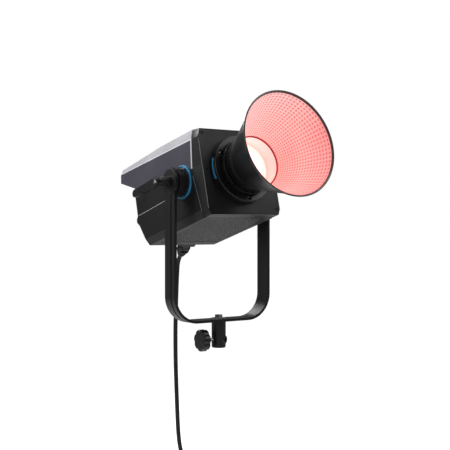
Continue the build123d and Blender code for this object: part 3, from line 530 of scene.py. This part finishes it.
def reflector():
    """Outside of the bell with its rolled rim, and a dark red ring in its throat: painted shade at
    the step there, glowing faintly with painted lamp light.
    """
    bead = [(MOUTH - BEAD_R + BEAD_R * math.sin(a), MOUTH_R + 0.1 + BEAD_R * math.cos(a))
            for a in (math.radians(d) for d in range(150, -121, -15))]
    outer = [(MOUTH - 4.0, MOUTH_R - 0.9), (MOUTH - 12, 83.9), (150, 63.4), (BELL_BACK + 6, 50.9),
             (BELL_BACK + 2, 49.0), (BELL_BACK - 3, 48.3), (NECK_END, 48.2), (NECK_END, 46.3),
             (BELL_BACK, BELL_BACK_R + 0.3)]
    profile = [(MOUTH - 3.5, MOUTH_R - 1.4)] + bead + outer
    place("reflector_shell", lathe("reflector_shell", profile), [SHELL], "reflector",
          ("reflector_bell",))
    # Painted shade: the ring at the step in the throat.
    ring = [(BELL_BACK - 0.2 + 1.7 * math.cos(a), BELL_BACK_R - 0.5 + 1.4 * math.sin(a))
            for a in (math.radians(d) for d in range(0, 360, 30))]
    place("reflector_throat_shade_ring", lathe("reflector_throat_shade_ring", ring), [THROAT_PAINTED_SHADE], "reflector")


def lining():
    """Dimpled inside of the bell with its smooth throat, as one thin sheet."""
    # Each row is (forward, radius, wave), and the wave is 1 along the middle of a ring of dimples.
    rows = [(86.2, 44.3, 0.0), (89.0, 45.9, 0.0), (100.0, 45.9, 0.0),
            (BELL_BACK - 1, BELL_BACK_R - 0.2, 0.0)]
    cone = math.hypot(MOUTH - BELL_BACK, MOUTH_R - BELL_BACK_R)
    steps = RINGS * CELL
    for k in range(steps + 1):
        t = k / steps
        t = t * (0.82 + 0.18 * t)     # the dimples grow towards the mouth
        f = BELL_BACK + 0.4 + (MOUTH - 4.0 - BELL_BACK) * t
        r = BELL_BACK_R - 0.1 + (MOUTH_R - 1.9 - BELL_BACK_R) * t
        rows.append((f, r, 0.5 - 0.5 * math.cos(2 * math.pi * k / CELL)))
    around = RAYS * CELL
    out = ((MOUTH_R - BELL_BACK_R) / cone, -(MOUTH - BELL_BACK) / cone)
    verts, mask = [], []
    for i in range(around):
        a = 2 * math.pi * i / around
        side = 0.5 - 0.5 * math.cos(2 * math.pi * i / CELL)
        for f, r, wave in rows:
            deep = (wave * side) ** 0.95
            f, r = f + out[0] * deep * DIMPLE_DEPTH, r + out[1] * deep * DIMPLE_DEPTH
            verts.append(about_axis(f, r, a))
            mask.append(deep)
    n = len(rows)
    faces = []
    for i in range(around):
        a, b = i * n, (i + 1) % around * n
        faces += [(a + j, a + j + 1, b + j + 1, b + j) for j in range(n - 1)]
    mesh = mesh_of("reflector_dimpled_lining", verts, faces, HEAD)
    # The dimple mask also places the lining's painted shade.
    mesh.attributes.new("dimple", "FLOAT", "POINT").data.foreach_set("value", mask)
    place("reflector_dimpled_lining", mesh, [LINING], "reflector")


reflector()
lining()


# ---------------------------------------------------------------- perforated underside
def perforated(name, x_half, f_low, f_high, u, pitch, hole):
    """Sheet with staggered round holes: every hole sits in its own hexagon."""
    bm = bmesh.new()
    made = {}

    def vert(x, f):
        key = (round(x * 50), round(f * 50))
        if key not in made:
            made[key] = bm.verts.new((x * MM, -f * MM, u * MM))
        return made[key]

    row_step = pitch * math.sqrt(3) / 2
    rows = int((f_high - f_low - pitch) / row_step)
    columns = int((2 * x_half - 1.5 * pitch) / pitch)
    half_side = math.radians(30)      # half the angle that a hexagon's side takes
    start_f = (f_high + f_low - (rows - 1) * row_step) / 2
    corner_r = pitch / math.sqrt(3)
    for row in range(rows):
        f = start_f + row * row_step
        for column in range(columns):
            x = (column - (columns - 1) / 2 + (0.25 if row % 2 else -0.25)) * pitch
            corners, rim = [], []
            for k in range(12):
                a = math.radians(30 * k)
                reach = corner_r if k % 2 else corner_r * math.cos(half_side)
                across, ahead = math.sin(a + half_side), math.cos(a + half_side)
                corners.append(vert(x + reach * across, f + reach * ahead))
                rim_x, rim_f = x + hole / 2 * across, f + hole / 2 * ahead
                rim.append(bm.verts.new((rim_x * MM, -rim_f * MM, u * MM)))
            for k in range(12):
                quad = (corners[k], corners[(k + 1) % 12], rim[(k + 1) % 12], rim[k])
                if len(set(quad)) == 4:
                    bm.faces.new(quad)
    # The honeycomb's outline is drawn out to the sheet's straight edges.
    shared = set(made.values())
    edge = [e for e in bm.edges if e.is_boundary and all(v in shared for v in e.verts)]
    grown = {}
    for v in (v for e in edge for v in e.verts):
        if v not in grown:
            grown[v] = bm.verts.new(v.co)
    for a, b in (e.verts for e in edge):
        bm.faces.new((b, a, grown[a], grown[b]))
    for v in grown.values():
        x, f = v.co.x / MM, -v.co.y / MM
        if abs(x) > (columns / 2 - 0.8) * pitch:
            v.co.x = math.copysign(x_half * MM, x)
        if f > start_f + (rows - 1.4) * row_step:
            v.co.y = -f_high * MM
        if f < start_f + 0.4 * row_step:
            v.co.y = -f_low * MM
    bmesh.ops.recalc_face_normals(bm, faces=bm.faces)
    mesh = bpy.data.meshes.new(name)
    bm.to_mesh(mesh)
    bm.free()
    mesh.transform(HEAD)
    return mesh


sheet = perforated("bottom_grille_perforated", x_half=62.8, f_low=-123.8, f_high=37.8, u=-75.8,
                   pitch=4.3, hole=3.0)
grille = place("bottom_grille_perforated", sheet, [GRILLE, EDGE], "head",
               ("bottom_grille",))
solid = grille.modifiers.new("thickness", "SOLIDIFY")
solid.thickness = 1.2 * MM
solid.offset = 0.0
# The holes' walls get the painted highlight grey.
solid.material_offset_rim = 1     # the holes' walls take EDGE


# ---------------------------------------------------------------- painted lines and painted edge highlights
LINE = finish("printed_light_grey", linear(176, 176, 180), 0.5, grain=3000, bump=0.02)
SCREEN_WHITE = finish("screen_white", linear(214, 222, 228), 0.3, grain=4000, bump=0.0,
                      Emission_Color=(0.70, 0.78, 0.84, 1), Emission_Strength=0.6)
SCREEN_BLUE = finish("screen_blue", linear(60, 150, 214), 0.3, grain=4000, bump=0.0,
                     Emission_Color=(0.05, 0.30, 0.62, 1), Emission_Strength=0.6)


# Places and sizes in mm.
CASING_HALF = 75.0
BEZEL_HALF = 74.6                 # half width at the middle of the bezel's rounded corner
DISPLAY_F = -172.1                # face of the display
EYE_FACE_X = -102.4               # face of the left eye cap
PRINT_THICK = 0.12


def strip(name, points, width, out, material=LINE, thick=PRINT_THICK):
    """Flat line on the head through (x, forward, up) points; out is its normal in head space."""
    verts, faces = [], []
    points = [Vector((x, -f, u)) for x, f, u in points]
    out = Vector(out).normalized()
    for i, p in enumerate(points):
        ahead = (points[min(i + 1, len(points) - 1)] - points[max(i - 1, 0)]).normalized()
        side = ahead.cross(out).normalized() * width / 2
        for lift in (0, thick):
            verts += [(p + side + out * lift) * MM, (p - side + out * lift) * MM]
    for i in range(len(points) - 1):
        a, b = 4 * i, 4 * i + 4
        faces += [(a + 2, b + 2, b + 3, a + 3), (a, a + 1, b + 1, b), (a, b, b + 2, a + 2),
                  (a + 1, a + 3, b + 3, b + 1)]
    last = 4 * len(points) - 4
    faces += [(0, 2, 3, 1), (last, last + 1, last + 3, last + 2)]
    place(name, mesh_of(name, verts, faces, HEAD, smooth=False), [material], "head")


def on_display(name, start, end, width, material):
    """Part of the display's picture, from one (x, up) point to another."""
    (x0, u0), (x1, u1) = start, end
    strip(name, [(x0, DISPLAY_F, u0), (x1, DISPLAY_F, u1)], width, (0, 1, 0), material,
          0.05)


for side, sign in (("left", -1), ("right", 1)):
    strip(f"side_line_{side}", [(sign * CASING_HALF, f, -14.3) for f in (-168.0, -120.0, -66.0)],
          1.1, (sign, 0, 0))
    # Painted highlights along the seam and down the bezel's front edges.
    seam = ((33.6, 0.0), (39.6, -31.0), (46.2, -66.0))
    strip(f"seam_highlight_{side}", [(sign * CASING_HALF, f, u) for f, u in seam], 0.7,
          (sign, 0, 0), EDGE)
    strip(f"bezel_edge_{side}", [(sign * BEZEL_HALF, 66.7, u) for u in (59.0, 10.0, -40.0, -66.0)],
          0.7, (sign, -1, 0), EDGE, 0.4)
# Painted highlight along the bezel's bottom front edge.
strip("bezel_edge_bottom", [(x, 66.4, -76.5) for x in (-69.0, -30.0, 30.0, 69.0)], 1.0,
      (0, -1, -1), EDGE, 0.3)
for k, high_u in enumerate((29, 24, 27, 18, 22)):
    x = -22.0 + 8.0 * k
    on_display(f"display_bar_{k + 1}", (x, 10), (x, high_u), 4.6,
               SCREEN_BLUE if k % 2 else SCREEN_WHITE)
on_display("display_line", (-26, 7.5), (26, 7.5), 0.8, SCREEN_WHITE)
on_display("display_disc", (20, 14), (20, 26), 9.0, SCREEN_BLUE)


def eye_marks():
    """Scale on the left eye cap: an arc over the pivot and ticks down its front."""
    verts, faces = [], []

    def bar(r0, r1, a0, a1, steps):
        """Part of a ring between two radii in mm and two angles in degrees, 0 being forward."""
        start = len(verts)
        for i in range(steps + 1):
            a = math.radians(a0 + (a1 - a0) * i / steps)
            for x in (EYE_FACE_X, EYE_FACE_X - PRINT_THICK):
                for r in (r0, r1):
                    y, z = -r * math.cos(a) * MM, PIVOT_Z + r * math.sin(a) * MM
                    verts.append((x * MM, y, z))
        for i in range(steps):
            a, b = start + 4 * i, start + 4 * i + 4
            faces.extend([(a, b, b + 1, a + 1), (a + 2, a + 3, b + 3, b + 2),
                          (a, a + 2, b + 2, b), (a + 1, b + 1, b + 3, a + 3)])
        e = start + 4 * steps
        faces.extend([(start, start + 1, start + 3, start + 2), (e, e + 2, e + 3, e + 1)])

    bar(16.2, 17.2, 45, 138, 24)
    for k in range(6):
        bar(15.2, 18.4, 24 - 11 * k, 26 - 11 * k, 1)
    place("eye_scale_marks", mesh_of("eye_scale_marks", verts, faces, smooth=False), [LINE],
          "yoke")


eye_marks()


# ---------------------------------------------------------------- stage and light
AMBIENT = 0.15                    # the room's light; the backdrop itself shows white
FLOOR_Z = -0.432                  # just under the plug
FLOOR_SHOWS = 0.9                 # added to the floor as the camera sees it; it lights nothing


def floor():
    """Wide round floor of rings, pale and plain."""
    radii, steps = (1.0, 2.5, 6.0, 15.0, 40.0), 64
    turns = [2 * math.pi * i / steps for i in range(steps)]
    verts = [(0, 0, 0)] + [(r * math.cos(a), r * math.sin(a), 0) for r in radii for a in turns]
    faces = [(0, 1 + i, 1 + (i + 1) % steps) for i in range(steps)]
    for k in range(len(radii) - 1):
        a = 1 + k * steps
        b = a + steps
        faces += [(a + i, b + i, b + (i + 1) % steps, a + (i + 1) % steps) for i in range(steps)]
    mesh = mesh_of("floor", verts, faces, Matrix.Translation((0, 0, FLOOR_Z)))
    s = Shader("floor_paper", Roughness=0.9, Emission_Color=(1, 1, 1, 1))
    paper = s.mix(s.noise(3.0), (0.90, 0.90, 0.90, 1), (0.94, 0.94, 0.94, 1))
    s.put(s.bsdf.inputs["Base Color"], paper)
    seen = s.add("ShaderNodeLightPath").outputs["Is Camera Ray"]
    s.put(s.bsdf.inputs["Emission Strength"], s.math("MULTIPLY", seen, FLOOR_SHOWS))
    mesh.materials.append(s.material)
    obj = bpy.data.objects.new("floor", mesh)
    scene.collection.objects.link(obj)


floor()
world = bpy.data.worlds.new("studio")
world.use_nodes = True
scene.world = world
sky = world.node_tree
background = sky.nodes["Background"]
background.inputs["Color"].default_value = (1, 1, 1, 1)
path = sky.nodes.new("ShaderNodeLightPath")
level = sky.nodes.new("ShaderNodeMapRange")
level.inputs["To Min"].default_value = AMBIENT
level.inputs["To Max"].default_value = 1.0
sky.links.new(path.outputs["Is Camera Ray"], level.inputs["Value"])
sky.links.new(level.outputs["Result"], background.inputs["Strength"])


def softbox(name, at, aim, size, power):
    """Rectangular light, in metres and watts."""
    data = bpy.data.lights.new(name, "AREA")
    data.shape = "RECTANGLE"
    data.size, data.size_y = size
    data.energy = power
    obj = bpy.data.objects.new(name, data)
    obj.location = at
    obj.rotation_euler = (Vector(aim) - Vector(at)).to_track_quat("-Z", "Y").to_euler()
    scene.collection.objects.link(obj)


softbox("top", (0.2, -0.6, 2.2), (0, 0, 0.3), (1.4, 1.4), 16)
softbox("key", (1.5, -1.9, 1.5), (0, 0, 0.3), (0.8, 1.2), 8)
softbox("rear_left", (-2.2, 1.6, 0.9), (0, 0, 0.3), (0.7, 1.8), 5)
softbox("roof", (-0.5, 0.85, 1.05), (-0.05, 0.14, 0.36), (0.5, 0.5), 11)
softbox("left_strip", (-1.9, -0.9, 1.1), (0, -0.15, 0.34), (0.25, 1.4), 5)
softbox("back_top", (0.1, 2.0, 1.5), (0, 0, 0.35), (1.4, 0.9), 14)
